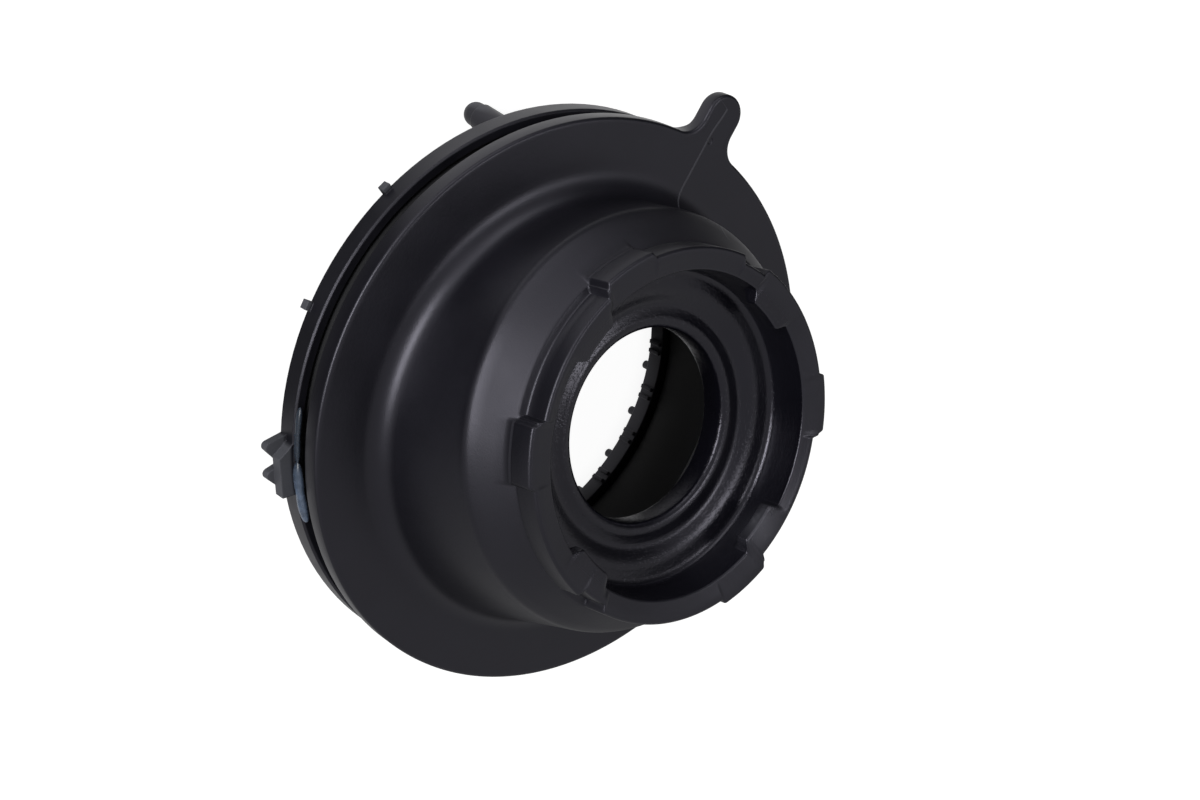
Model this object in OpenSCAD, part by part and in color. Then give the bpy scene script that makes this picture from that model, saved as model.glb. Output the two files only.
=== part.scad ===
// Strut mount: a rubber coil spring seat on a ball bearing that swivels in a moulded cap.
// Millimetres. +Z runs along the bearing axis, from the cap at the bottom to the spring seat's neck.
// The origin is on the bearing axis, in the plane of the cap's seat face. The spring seat's lug
// points along -X, and the neck leans that way too.

/* [Cap] */
// Radius of the cap's central opening
cap_bore_r = 43.6; // [40:0.2:48]
// Height of the lip round the opening
cap_lip_h = 4.4; // [3.8:0.1:5]
// Radial width of the seat face round the opening
cap_seat_w = 6.5; // [6:0.1:7]
// Height of the recessed back between the ribs
cap_back_z = 6.2; // [5.6:0.1:7]
// Thickness of the cap under the race
cap_floor_t = 2.6; // [2:0.1:3.4]
// Thickness of the cap's two walls beside the race
cap_wall_t = 1.8; // [1.5:0.1:2.4]
// Thickness of the outer rim
rim_t = 2.1; // [1.6:0.1:3]
// Height of the outer rim
rim_h = 5.1; // [4.6:0.1:5.6]
// Chamfer on the rim's front edge
rim_cut = 0.4; // [0.2:0.1:0.8]
// Height of the snap bead inside the cap
bead_h = 1.2; // [0.9:0.1:1.5]
// Open gap between the rim and the spring seat's flange
rim_gap = 5.25; // [4.9:0.05:5.8]
// Number of radial ribs on the back
back_ribs = 14; // [10:1:18]
// Thickness of a radial rib
back_rib_t = 2; // [1.4:0.1:2.6]
// How far a radial rib stands out of the recessed back
back_rib_h = 1.6; // [1:0.1:2.4]
// How far the two small blocks stand out of the rim
nub_out = 1.3; // [0.6:0.1:2]
// Azimuth of the first small block
nub_az = -110; // [-116:1:-104]
// Angle between the two small blocks
nub_step = 26; // [20:1:32]
// Azimuth of the locating peg and of the first rib
peg_az = -137.6; // [-146:0.1:-128]
// Diameter of the locating peg
peg_d = 5.4; // [4.6:0.1:6]
// Length of the locating peg behind the rim, to the middle of its dome
peg_len = 9.5; // [8.6:0.1:10.5]
// Lean of the locating peg out of the bearing axis, in degrees
peg_lean = 7.5; // [4:0.5:10]
// Length of the gusseted collar at the peg's root
peg_collar = 7.4; // [7.2:0.1:8]
// Number of grip rib pairs and studs round the opening
studs = 24; // [16:1:28]
// Diameter of a stud
stud_d = 2; // [1.6:0.1:2.4]
// Height of a stud
stud_h = 2; // [1.6:0.1:2.6]
// How far a grip rib stands out of the lip
grip_h = 0.7; // [0.4:0.1:1]
// Width of a grip rib
grip_w = 0.9; // [0.6:0.1:1.2]
// Distance between the two grip ribs of a pair
grip_step = 2.2; // [1.8:0.1:2.8]
// Azimuth of the first grip rib pair
grip_az = 14.5; // [0:0.5:15]

/* [Index block] */
// Azimuth of the index block's middle
index_az = -52; // [-60:1:-46]
// Width of the index block
index_w = 9; // [7:0.1:11]
// How far the index block stands out of the rim
index_out = 3; // [2:0.1:4]
// Length of the ramp that leads up to the index block
index_ramp = 3; // [2:0.1:4]
// Slope of a tooth's leading side, from the radius
tooth_lead = 15; // [10:1:20]
// Slope of a tooth's trailing side, from the radius
tooth_trail = 46; // [40:1:50]
// How far an index tooth stands out of the rim
tooth_out = 4.8; // [4:0.1:6]
// Thickness of an index tooth
tooth_t = 2; // [1.4:0.1:2.6]
// Angle between the two teeth
tooth_step = 5.4; // [5:0.1:7]

/* [Bearing] */
// Number of balls
balls_n = 40; // [24:1:42]
// Diameter of a ball
ball_d = 5; // [4.6:0.1:5.4]
// Thickness of the pressed races
race_t = 1.2; // [0.9:0.05:1.5]
// Radial width of the races
race_w = 8.8; // [8.6:0.1:10]
// Distance from the ball centres to the races' flat rims
race_rim = 1.2; // [1.1:0.05:1.4]
// Running clearance between balls and races
groove_gap = 0.05; // [0.03:0.01:0.1]
// Radial width of the ball cage
cage_w = 6.8; // [6.4:0.1:7.6]

/* [Carrier ring] */
// Thickness of the carrier above the race
carrier_web = 5.6; // [5.2:0.1:6.4]
// How far the inner skirt stands back from the cap's opening
skirt_back = 1.4; // [1:0.1:2]
// Thickness of the inner skirt
skirt_t = 1.8; // [1.4:0.1:2.2]
// How far the snap hook stands out of the skirt
hook_out = 1; // [0.8:0.05:1.2]
// Height of the snap hook
hook_h = 1.8; // [1.4:0.1:2]
// Height of the spigot inside the spring seat
spigot_h = 2.4; // [1.8:0.1:3]
// Thickness of the carrier's outer wall
carrier_wall_t = 1.8; // [1.4:0.1:2.6]
// How far the carrier's walls reach past the race's shelf
carrier_wall_h = 0.8; // [0.5:0.1:1]
// Radial width of the outer seal
seal_w = 1.3; // [1.1:0.05:1.6]
// Thickness of a seal's lip
seal_lip_t = 0.6; // [0.4:0.05:0.8]
// Height of the inner seal
seal_h = 2.2; // [1.8:0.1:2.6]

/* [Flange] */
// How far the flange stands out past the cap's rim
flange_over = 0.6; // [0:0.1:2]
// Thickness of the flange
flange_t = 4.85; // [4.4:0.05:6]
// Rounding of the flange's edges
flange_round = 0.8; // [0.4:0.1:1.4]
// Concave fillet between flange and neck
fillet_r = 5.2; // [4:0.1:6]
// Reach of the lug from the flange's edge
lug_out = 12; // [9:0.5:15]
// Width of the lug
lug_w = 9.7; // [8:0.1:12]
// Thickness of the lug
lug_t = 4; // [3:0.1:4.4]
// Fillet at the lug's root
lug_fillet = 5; // [3:0.5:7]

/* [Neck] */
// Lean of the neck, in degrees
neck_tilt = 7.6; // [4:0.2:9]
// Azimuth that the neck leans towards
lean_az = -171; // [-180:1:-160]
// Shift of the neck's axis at the flange's face, towards its lean
neck_shift = 0.9; // [0:0.1:1.4]
// Radius of the neck just above the fillet
foot_r = 48.4; // [47.8:0.1:50]
// Radius of the neck below its shoulder
shoulder_r = 46.4; // [45.6:0.1:47]
// Height of the shoulder above the flange, along the neck
shoulder_h = 20.5; // [19.5:0.1:21.5]
// Rounding of the shoulder
shoulder_round = 4; // [2.5:0.1:5]
// Height of the end ring above the flange, along the neck
end_h = 37; // [36:0.1:39]
// Height at which the shoulder's cone meets the end ring
cone_top_h = 30.8; // [30.2:0.1:31.4]
// Thickness of the neck's wall
neck_wall = 5.4; // [4.6:0.1:6]

/* [End ring] */
// Inner radius of the end ring
ring_in_r = 35.3; // [34.5:0.1:36]
// Thickness of the end ring's wall
end_wall_t = 5.1; // [4.6:0.1:5.6]
// Fall of the end face from its outer to its inner edge
end_fall = 0.8; // [0.2:0.1:1.4]
// How far the bosses stand out of the end ring
boss_out = 1.2; // [0.6:0.1:1.6]
// Angular width of a boss
boss_deg = 20; // [14:1:24]
// Angle between a boss and the long recess beside it
boss_gap = 0.7; // [0.5:0.1:1.5]
// Angular width of the long recess between two bosses
recess_deg = 43; // [34:1:48]
// Depth of the long recess
recess_in = 1.6; // [1:0.1:2.2]
// Azimuth of the middle of the first long recess
recess_az = -96; // [-105:1:-90]
// Azimuth of the middle of the second long recess
recess_far_az = 89; // [80:1:95]
// Angular width of the notches in line with the lug
notch_deg = 11; // [6:1:16]
// Azimuth of the notch away from the lug
notch_far_az = -9; // [-14:1:-4]
// Slope of the ends of bosses and inner lugs, in degrees
pad_slope = 42; // [30:1:45]
// Number of inner lugs
inner_lugs = 4; // [3:1:6]
// How far an inner lug reaches into the ring
inner_lug_in = 2.6; // [2:0.1:3.4]
// Angular width of an inner lug
inner_lug_deg = 22; // [16:1:26]
// Height of an inner lug
inner_lug_h = 4.6; // [3.6:0.1:5.4]
// Azimuth of the first inner lug
inner_lug_az = 74; // [64:1:84]

/* [Bowl] */
// Radius of the bore
bore_r = 21.2; // [20:0.1:22.5]
// Length of the bore's straight wall
bore_len = 4; // [3:0.1:5]
// Height of the lip's crown above the flange, along the neck
lip_h = 25.8; // [25.2:0.1:26.4]
// Width of the rounded lip
lip_w = 2.4; // [1.8:0.1:3]
// Distance of the floor's ridge from the bowl's wall
ridge_in = 5.7; // [5:0.1:6.4]
// Height of the ridge above the lip's crown
ridge_up = 1; // [0.4:0.1:1.6]
// Depth of the trough between lip and ridge, below the lip's crown
trough_dip = 0.7; // [0.3:0.1:1.2]
// Radial width of the slope between trough and ridge
ridge_slope = 3; // [2:0.1:4]
// Fillet between the bowl's floor and its wall
bowl_fillet = 2; // [1:0.1:3]
// Draft of the bowl's wall, from its foot to the end face
bowl_draft = 0.7; // [0.2:0.1:1.2]
// Height of the hollow's wall above the flange, along the neck
cavity_h = 13.5; // [12:0.1:15]
// Height of the hollow's domed roof above its wall
roof_rise = 3.6; // [2.4:0.1:4.4]

/* [Fits] */
// Clearance between parts that turn against each other
run_gap = 0.3; // [0.2:0.05:0.4]
// Clearance between parts that are pressed or bonded together
bond_gap = 0.05; // [0.02:0.01:0.1]

/* [Hidden] */
$fn = 96;
eps = 0.01;

// Radial chain, from the cap's opening outwards
skirt_in_r = cap_bore_r + skirt_back;
skirt_out_r = skirt_in_r + skirt_t;
hook_r = skirt_out_r + hook_out;
cap_inner_r = hook_r + run_gap;
bead_r = skirt_out_r + run_gap;
pocket_in_r = cap_inner_r + cap_wall_t;
race_in_r = pocket_in_r + bond_gap;
race_out_r = race_in_r + race_w;
pitch_r = (race_in_r + race_out_r) / 2;
pocket_out_r = race_out_r + bond_gap;
carrier_out_r = pocket_out_r + carrier_wall_t;
seal_in_r = carrier_out_r + bond_gap;
rim_in_r = seal_in_r + seal_w + run_gap;
rim_r = rim_in_r + rim_t;
flange_r = rim_r + flange_over;
seat_out_r = cap_bore_r + cap_seat_w;

// Height chain, from the cap's seat face upwards
groove_r = ball_d / 2 + groove_gap;
trough_r = groove_r + race_t;
ball_z = cap_back_z + cap_floor_t + bond_gap + trough_r;
race_shelf = race_rim + race_t;
cap_shelf_z = ball_z - race_shelf;
carrier_shelf_z = ball_z + race_shelf;
flange_z = ball_z + trough_r + bond_gap + carrier_web;
face_z = flange_z + flange_t;
rim_top_z = flange_z - rim_gap;
rim_z = rim_top_z - rim_h;
skirt_z = cap_lip_h + 2 * run_gap;
hook_top_z = skirt_z + hook_h;
bead_z = hook_top_z + 2 * run_gap;
carrier_low_z = carrier_shelf_z - carrier_wall_h;
cap_shelf_out_z = carrier_low_z - 2 * run_gap;

// Neck, measured along its leaning axis from the flange's face
cavity_r = foot_r - neck_wall;
cavity_top_r = shoulder_r - neck_wall;
bore_low_h = lip_h - lip_w - bore_len;
end_r = ring_in_r + end_wall_t;
boss_r = end_r + boss_out;
ridge_r = ring_in_r - ridge_in;
end_round = 0.6;

// Overlap of features that grow out of another one
root = 1;

// Overlap of a loft with the turned shape it runs into, and the fine ledge left there
lap = 0.25;
ledge = 0.2;

// Places a shape on the neck's leaning axis, with its azimuths kept
module on_neck() {
    translate([0, 0, face_z])
        rotate([0, 0, lean_az])
            translate([neck_shift, 0, 0])
                rotate([0, neck_tilt, 0])
                    rotate([0, 0, -lean_az])
                        children();
}

// Ring with the section given by the children, drawn as radius and height
module ring() {
    rotate_extrude($fn = 128)
        children();
}

// Part of a ring, centred on an azimuth
module ring_part(az, width) {
    rotate([0, 0, az - width / 2])
        rotate_extrude(angle = width, $fn = 128)
            children();
}

// Section of a pressed race below the balls: a groove between two flat rims
module race_section() {
    intersection() {
        difference() {
            translate([pitch_r, ball_z])
                circle(r = trough_r, $fn = 64);
            translate([pitch_r, ball_z])
                circle(r = groove_r, $fn = 64);
        }
        translate([race_in_r, ball_z - 2 * trough_r])
            square([race_w, 2 * trough_r - race_rim]);
    }
    difference() {
        translate([race_in_r, cap_shelf_z])
            square([race_w, race_t]);
        translate([pitch_r, ball_z])
            circle(r = (groove_r + trough_r) / 2, $fn = 64);
    }
}

// Mirrors a section through the plane of the ball centres
module above_balls() {
    translate([0, 2 * ball_z])
        mirror([0, 1])
            children();
}

// Room for a race's groove in the part that carries it
module race_room() {
    translate([pitch_r, ball_z])
        circle(r = trough_r + bond_gap, $fn = 64);
}

// Section of the cap: lip, snap bead, race pocket and outer rim
module cap_section() {
    rim_root_r = rim_in_r - cap_wall_t / 2;
    difference() {
        polygon([
            [cap_bore_r, 0],
            [seat_out_r, 0],
            [seat_out_r + rim_cut, cap_back_z],
            [race_out_r - root, cap_back_z],
            [rim_root_r, rim_z - root],
            [rim_root_r, rim_z],
            [rim_r, rim_z],
            [rim_r, rim_top_z - rim_cut],
            [rim_r - rim_cut, rim_top_z],
            [rim_in_r, rim_top_z],
            [rim_in_r, cap_shelf_out_z],
            [pocket_out_r, cap_shelf_out_z],
            [pocket_out_r, cap_shelf_z],
            [pocket_in_r, cap_shelf_z],
            [pocket_in_r, cap_shelf_z + race_t],
            [cap_inner_r, cap_shelf_z + race_t],
            [cap_inner_r, bead_z + bead_h],
            [bead_r, bead_z + 2 * bead_h / 3],
            [bead_r, bead_z],
            [cap_inner_r, bead_z],
            [cap_inner_r, cap_lip_h],
            [cap_bore_r, cap_lip_h]
        ]);
        race_room();
    }
}

// Locating peg with a domed tip, leaning out of the rim's back, and the gusset at its root
module locating_peg() {
    collar_step = 0.35;
    sunk = root / 2;
    difference() {
        rotate([0, 0, peg_az])
            translate([rim_r - peg_d / 2 - collar_step - ledge, 0, rim_z])
                rotate([0, 180 - peg_lean, 0]) {
                    translate([0, 0, -sunk])
                        cylinder(d = peg_d + 2 * collar_step, h = peg_collar + sunk, $fn = 64);
                    cylinder(d = peg_d, h = peg_len, $fn = 64);
                    translate([0, 0, peg_len])
                        sphere(d = peg_d, $fn = 64);
                    translate([back_rib_t / 2, 0, 0])
                        rotate([0, -90, 0])
                            linear_extrude(back_rib_t)
                                polygon([
                                    [-sunk, 0],
                                    [-sunk, peg_d],
                                    [root, peg_d],
                                    [peg_collar - root / 2, 0]
                                ]);
                }
        translate([0, 0, cap_shelf_z - root])
            cylinder(r = pocket_out_r + root / 2, h = rim_h, $fn = 128);
    }
}

// Index block on the rim and the two leaning teeth behind it
module index_marks() {
    tip_round = 1.1;
    root_r = rim_in_r + rim_t / 2;
    tip_r = rim_r + tooth_out - tip_round;
    lead_w = tip_round + (tip_r - root_r) * tan(tooth_lead);
    trail_w = tip_round + (tip_r - root_r) * tan(tooth_trail);
    rotate([0, 0, index_az])
        translate([0, 0, rim_z + tooth_t])
            linear_extrude(rim_h - tooth_t - rim_cut / 2)
                polygon([
                    [root_r, index_w / 2],
                    [rim_r + index_out, index_w / 2],
                    [rim_r + index_out, -index_w / 2],
                    [rim_r + index_out / 4, -index_w / 2 - index_ramp / 2],
                    [rim_r - 2 * rim_cut, -index_w / 2 - index_ramp],
                    [root_r, -index_w / 2 - index_ramp]
                ]);
    translate([0, 0, rim_z + ledge])
        linear_extrude(tooth_t)
            for (az = [index_az, index_az - tooth_step])
                rotate([0, 0, az])
                    hull() {
                        translate([root_r, -lead_w])
                            square([root / 2, lead_w + trail_w]);
                        translate([tip_r, 0])
                            circle(r = tip_round, $fn = 24);
                    }
}

// Radial ribs under the cap, in line with the locating peg
module radial_ribs() {
    for (i = [0 : back_ribs - 1])
        rotate([0, 0, peg_az + i * 360 / back_ribs])
            translate([0, back_rib_t / 2, 0])
                rotate([90, 0, 0])
                    linear_extrude(back_rib_t)
                        polygon([
                            [seat_out_r - root, cap_back_z - back_rib_h - root],
                            [pocket_out_r, cap_back_z - back_rib_h],
                            [rim_in_r, rim_z - back_rib_h],
                            [rim_in_r + rim_t / 2, rim_z + root],
                            [pocket_out_r, cap_back_z + root],
                            [seat_out_r - root, cap_back_z + root]
                        ]);
}

// Two small blocks on the back edge of the rim
module rim_nubs() {
    for (az = [nub_az, nub_az + nub_step])
        rotate([0, 0, az])
            translate([rim_in_r + rim_t / 2, -back_rib_t / 2, rim_z - back_rib_t / 2])
                cube([rim_t / 2 + nub_out, back_rib_t, back_rib_t]);
}

// Pairs of grip ribs in the opening, and a stud between each two pairs
module grip_ribs_and_studs() {
    step = 360 / studs;
    stud_r = cap_bore_r + 0.6 * stud_d;
    for (i = [0 : studs - 1])
        rotate([0, 0, grip_az + i * step]) {
            for (side = [-1, 1])
                translate([cap_bore_r - grip_h, side * grip_step / 2 - grip_w / 2, rim_cut])
                    cube([grip_h + root, grip_w, cap_lip_h - 2 * rim_cut]);
            rotate([0, 0, step / 2])
                translate([stud_r, 0, -stud_h])
                    cylinder(d = stud_d, h = stud_h + root, $fn = 24);
        }
}

module bearing_cap() {
    color("#26272b") {
        ring()
            cap_section();
        locating_peg();
        index_marks();
        radial_ribs();
        rim_nubs();
        grip_ribs_and_studs();
    }
}

module cap_race() {
    color("#b9bcc0")
        ring()
            race_section();
}

module seat_race() {
    color("#b9bcc0")
        ring()
            above_balls()
                race_section();
}

module balls() {
    color("#d4d6d9")
        for (i = [0 : balls_n - 1])
            rotate([0, 0, i * 360 / balls_n])
                translate([pitch_r, 0, ball_z])
                    sphere(d = ball_d, $fn = 32);
}

module ball_cage() {
    cage_h = 2 * (race_rim - run_gap);
    color("#d9d4c3")
        difference() {
            ring()
                translate([pitch_r - cage_w / 2, ball_z - cage_h / 2])
                    square([cage_w, cage_h]);
            for (i = [0 : balls_n - 1])
                rotate([0, 0, i * 360 / balls_n])
                    translate([pitch_r, 0, ball_z - cage_h])
                        cylinder(r = ball_d / 2 + run_gap / 2, h = 2 * cage_h, $fn = 32);
        }
}

// Carrier: skirt with its snap hook, race pocket, outer wall and the spigot in the spring seat
module carrier_ring() {
    web_low_z = carrier_shelf_z + carrier_wall_h;
    wall_in_r = pocket_in_r - cap_wall_t / 2;
    hook_cut = hook_h / 3;
    color("#2f3034")
        ring()
            difference() {
                polygon([
                    [skirt_in_r, skirt_z + hook_cut],
                    [skirt_in_r + hook_cut, skirt_z],
                    [hook_r - hook_cut, skirt_z],
                    [hook_r, skirt_z + hook_cut],
                    [hook_r, hook_top_z],
                    [skirt_out_r, hook_top_z],
                    [skirt_out_r, web_low_z],
                    [wall_in_r, web_low_z],
                    [wall_in_r, carrier_low_z],
                    [pocket_in_r, carrier_low_z],
                    [pocket_in_r, carrier_shelf_z],
                    [pocket_out_r, carrier_shelf_z],
                    [pocket_out_r, carrier_low_z],
                    [carrier_out_r, carrier_low_z],
                    [carrier_out_r, flange_z],
                    [skirt_out_r, flange_z],
                    [skirt_out_r, flange_z + spigot_h],
                    [skirt_in_r, flange_z + spigot_h]
                ]);
                race_room();
            }
}

// Lip seal between the carrier's skirt and the cap's inner wall
module inner_seal() {
    seal_r = skirt_out_r + bond_gap;
    lip_r = cap_inner_r - run_gap;
    body_r = (seal_r + lip_r) / 2;
    low_z = bead_z + bead_h + run_gap;
    color("#3a3b3f")
        ring()
            polygon([
                [seal_r, low_z],
                [lip_r, low_z],
                [lip_r, low_z + seal_lip_t],
                [body_r, low_z + 2 * seal_lip_t],
                [body_r, low_z + seal_h],
                [seal_r, low_z + seal_h]
            ]);
}

// Lip seal on the carrier's outer wall, running inside the cap's rim
module outer_seal() {
    top_z = rim_top_z + 2 * seal_lip_t;
    lip_r = seal_in_r + seal_w;
    body_r = (seal_in_r + lip_r) / 2;
    color("#3a3b3f")
        ring()
            polygon([
                [seal_in_r, carrier_low_z],
                [lip_r, carrier_low_z],
                [lip_r, carrier_low_z + seal_lip_t],
                [body_r, carrier_low_z + 2 * seal_lip_t],
                [body_r, top_z],
                [seal_in_r, top_z]
            ]);
}

// Flange outline with its lug: a round-ended tongue with a fillet on either side of its root
module lug_outline() {
    half = lug_w / 2;
    fillet_y = half + lug_fillet;
    fillet_x = sqrt(pow(flange_r + lug_fillet, 2) - pow(fillet_y, 2));
    tip_x = flange_r + lug_out - half;
    mirror([1, 0]) {
        difference() {
            translate([foot_r + fillet_r, -fillet_y])
                square([fillet_x - foot_r - fillet_r, 2 * fillet_y]);
            for (side = [-1, 1])
                translate([fillet_x, side * fillet_y])
                    circle(r = lug_fillet, $fn = 64);
        }
        translate([foot_r + fillet_r, -half])
            square([tip_x - foot_r - fillet_r, lug_w]);
        translate([tip_x, 0])
            circle(r = half, $fn = 64);
    }
}

// Flange disc with rounded edges and the concave fillet that leads up to the neck
module flange_section() {
    edge_r = flange_r - flange_round;
    translate([0, flange_z])
        square([edge_r, flange_t]);
    translate([0, flange_z + flange_round])
        square([flange_r, flange_t - 2 * flange_round]);
    for (z = [flange_z + flange_round, face_z - flange_round])
        translate([edge_r, z])
            circle(r = flange_round, $fn = 48);
    difference() {
        translate([0, face_z - eps])
            square([foot_r + fillet_r, fillet_r + eps]);
        translate([foot_r + fillet_r, face_z + fillet_r])
            circle(r = fillet_r, $fn = 96);
    }
}

// Wall of the neck: from a level circle at the flange to a leaning circle higher up
module neck_wall_loft(low_r, low_z, top_r, top_h) {
    hull() {
        translate([0, 0, low_z])
            cylinder(r = low_r, h = eps, $fn = 144);
        on_neck()
            translate([0, 0, top_h - eps])
                cylinder(r = top_r, h = eps, $fn = 144);
    }
}

// Section of the neck above the shoulder: rounded shoulder, cone, end ring, bowl and lip
module neck_section() {
    difference() {
        union() {
            shoulder_outline();
            translate([0, shoulder_h])
                square([end_r, end_h - end_round - shoulder_h]);
            translate([0, shoulder_h])
                square([end_r - end_round, end_h - shoulder_h]);
            translate([end_r - end_round, end_h - end_round])
                circle(r = end_round, $fn = 32);
        }
        bowl_section();
    }
}

// Shoulder and cone as one outline: the top of the wall, rounded into the cone
module shoulder_outline() {
    turn = atan2(shoulder_r - end_r, cone_top_h - shoulder_h - shoulder_round / 2);
    polygon(concat(
        [[0, shoulder_h]],
        [for (i = [0 : 8]) [
            shoulder_r - shoulder_round * (1 - cos(turn * i / 8)),
            shoulder_h + shoulder_round * sin(turn * i / 8)]],
        [[end_r, cone_top_h], [0, cone_top_h]]
    ));
}

// Hollow of the bowl: wall, filleted corner, ridge, trough and rounded lip
module bowl_section() {
    crown_r = bore_r + lip_w;
    floor_h = lip_h + ridge_up;
    wall_foot_r = ring_in_r - bowl_draft;
    difference() {
        polygon([
            [0, lip_h - lip_w],
            [crown_r, lip_h - lip_w],
            [crown_r, lip_h - trough_dip],
            [ridge_r - ridge_slope, lip_h - trough_dip],
            [ridge_r, floor_h],
            [wall_foot_r - bowl_fillet, floor_h],
            [wall_foot_r, floor_h + bowl_fillet],
            [ring_in_r, end_h - end_fall],
            [end_r - end_round, end_h],
            [end_r - end_round, end_h + eps],
            [0, end_h + eps]
        ]);
        translate([crown_r, lip_h - lip_w])
            circle(r = lip_w, $fn = 64);
    }
}

// Plan of a pad on a ring: straight across at the wall, with ends that slope in over its reach
module pad_plan(az, wall_r, width, reach, slope) {
    half = wall_r * sin(width / 2);
    tip_half = half - 2 * abs(reach) * tan(slope);
    rotate([0, 0, az])
        polygon([
            [wall_r - 2 * reach, half],
            [wall_r, half],
            [wall_r + 2 * reach, tip_half],
            [wall_r + 2 * reach, -tip_half],
            [wall_r, -half],
            [wall_r - 2 * reach, -half]
        ]);
}

// Outer castellation: bosses beside each long recess
module bosses() {
    offset_deg = (recess_deg + boss_deg) / 2 + boss_gap;
    low_h = cone_top_h - 2 * root;
    intersection() {
        ring()
            polygon([
                [end_r - boss_out - root, cone_top_h - root],
                [end_r, cone_top_h - root],
                [boss_r, cone_top_h],
                [boss_r, end_h - end_round],
                [boss_r - end_round, end_h],
                [end_r - boss_out - root, end_h - end_round]
            ]);
        translate([0, 0, low_h])
            linear_extrude(end_h - low_h + root)
                for (mid = [recess_az, recess_far_az], side = [-1, 1])
                    pad_plan(mid + side * offset_deg, end_r, boss_deg, boss_out, pad_slope);
    }
}

// Long recesses and the notches in line with the lug, cut out of the end ring
module end_ring_cuts() {
    cut_h = end_h - cone_top_h + 2 * eps;
    for (mid = [recess_az, recess_far_az])
        ring_part(mid, recess_deg)
            translate([end_r - recess_in, cone_top_h + eps])
                square([boss_out + recess_in + root, cut_h]);
    for (az = [180, notch_far_az])
        ring_part(az, notch_deg)
            translate([end_r - recess_in, cone_top_h + eps])
                square([boss_out + recess_in + root, cut_h]);
}

// Tongues inside the end ring that hold a bump stop
module inner_tongues() {
    top_h = end_h - end_fall;
    intersection() {
        ring()
            polygon([
                [ring_in_r - inner_lug_in, top_h],
                [ring_in_r + root, top_h],
                [ring_in_r + root, top_h - inner_lug_h],
                [ring_in_r - bowl_draft, top_h - inner_lug_h],
                [ring_in_r - inner_lug_in, top_h - 2 * inner_lug_h / 3]
            ]);
        translate([0, 0, top_h - 2 * inner_lug_h])
            linear_extrude(3 * inner_lug_h)
                for (i = [0 : inner_lugs - 1])
                    pad_plan(inner_lug_az + i * 360 / inner_lugs, ring_in_r, inner_lug_deg, -inner_lug_in,
                             pad_slope);
    }
}

// Hollow inside the neck, under the bowl
module cavity() {
    translate([0, 0, flange_z - eps])
        cylinder(r = skirt_out_r + bond_gap, h = spigot_h + bond_gap + eps, $fn = 128);
    neck_wall_loft(cavity_r, flange_z, cavity_top_r + ledge, cavity_h + lap);
    on_neck()
        ring()
            polygon([
                [0, cavity_h - lap],
                [cavity_top_r, cavity_h - lap],
                [cavity_top_r - roof_rise / 2, cavity_h + roof_rise],
                [(bore_r + cavity_top_r) / 2, bore_low_h - root],
                [bore_r + root, bore_low_h],
                [0, bore_low_h]
            ]);
}

module spring_seat() {
    color("#1d1e22")
        difference() {
            union() {
                ring()
                    flange_section();
                translate([0, 0, face_z - lug_t])
                    linear_extrude(lug_t)
                        lug_outline();
                neck_wall_loft(foot_r + ledge, face_z + fillet_r - lap,
                               shoulder_r - ledge, shoulder_h + lap);
                on_neck() {
                    difference() {
                        union() {
                            ring()
                                neck_section();
                            bosses();
                        }
                        end_ring_cuts();
                    }
                    inner_tongues();
                }
            }
            cavity();
            on_neck()
                translate([0, 0, cavity_h])
                    cylinder(r = bore_r, h = lip_h - lip_w - cavity_h, $fn = 128);
        }
}

bearing_cap();
cap_race();
balls();
ball_cage();
seat_race();
carrier_ring();
inner_seal();
outer_seal();
spring_seat();
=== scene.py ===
"""Looks of a strut mount: a rubber coil spring seat that swivels on a ball bearing in a plastic cap.

Laid out as an add-on. Sizes are in metres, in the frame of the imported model.
"""
import math

import bpy
import numpy as np
from bpy.props import FloatProperty, FloatVectorProperty, IntProperty, PointerProperty
from bpy.types import Operator, Panel, PropertyGroup
from mathutils import Matrix


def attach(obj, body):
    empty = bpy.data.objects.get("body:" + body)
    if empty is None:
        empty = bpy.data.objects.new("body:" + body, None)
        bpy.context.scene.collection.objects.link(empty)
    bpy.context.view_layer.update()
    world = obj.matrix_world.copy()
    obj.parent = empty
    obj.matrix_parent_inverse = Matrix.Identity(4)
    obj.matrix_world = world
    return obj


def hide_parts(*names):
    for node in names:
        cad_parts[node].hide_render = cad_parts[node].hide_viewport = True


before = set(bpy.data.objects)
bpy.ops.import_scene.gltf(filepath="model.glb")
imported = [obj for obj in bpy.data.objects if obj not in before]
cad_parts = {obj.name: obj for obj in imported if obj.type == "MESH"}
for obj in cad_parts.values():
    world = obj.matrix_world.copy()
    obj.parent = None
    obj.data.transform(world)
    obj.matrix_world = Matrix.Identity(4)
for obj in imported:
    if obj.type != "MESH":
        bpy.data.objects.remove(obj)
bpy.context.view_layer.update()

bl_info = {
    "name": "Strut mount",
    "version": (1, 0, 0),
    "blender": (4, 5, 0),
    "location": "View3D > Sidebar > Strut mount",
    "description": "Rubber spring seat, bearing cap and stage of a strut mount",
    "category": "Object",
}

MM = 0.001


def length(label, text, millimetres):
    """Length property that is written in millimetres and kept in metres."""
    return FloatProperty(name=label, description=text, default=millimetres * MM, unit="LENGTH")


def angle(label, text, degrees):
    """Angle property that is written in degrees and kept in radians."""
    return FloatProperty(name=label, description=text, default=math.radians(degrees), subtype="ANGLE")


def colour(label, text, value):
    """Colour property with linear red, green and blue."""
    return FloatVectorProperty(name=label, description=text, default=value, size=3, subtype="COLOR",
                               min=0.0, max=1.0)


def power(label, text, watts):
    """Power property of a light, in watts."""
    return FloatProperty(name=label, description=text, default=watts, unit="POWER")


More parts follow.
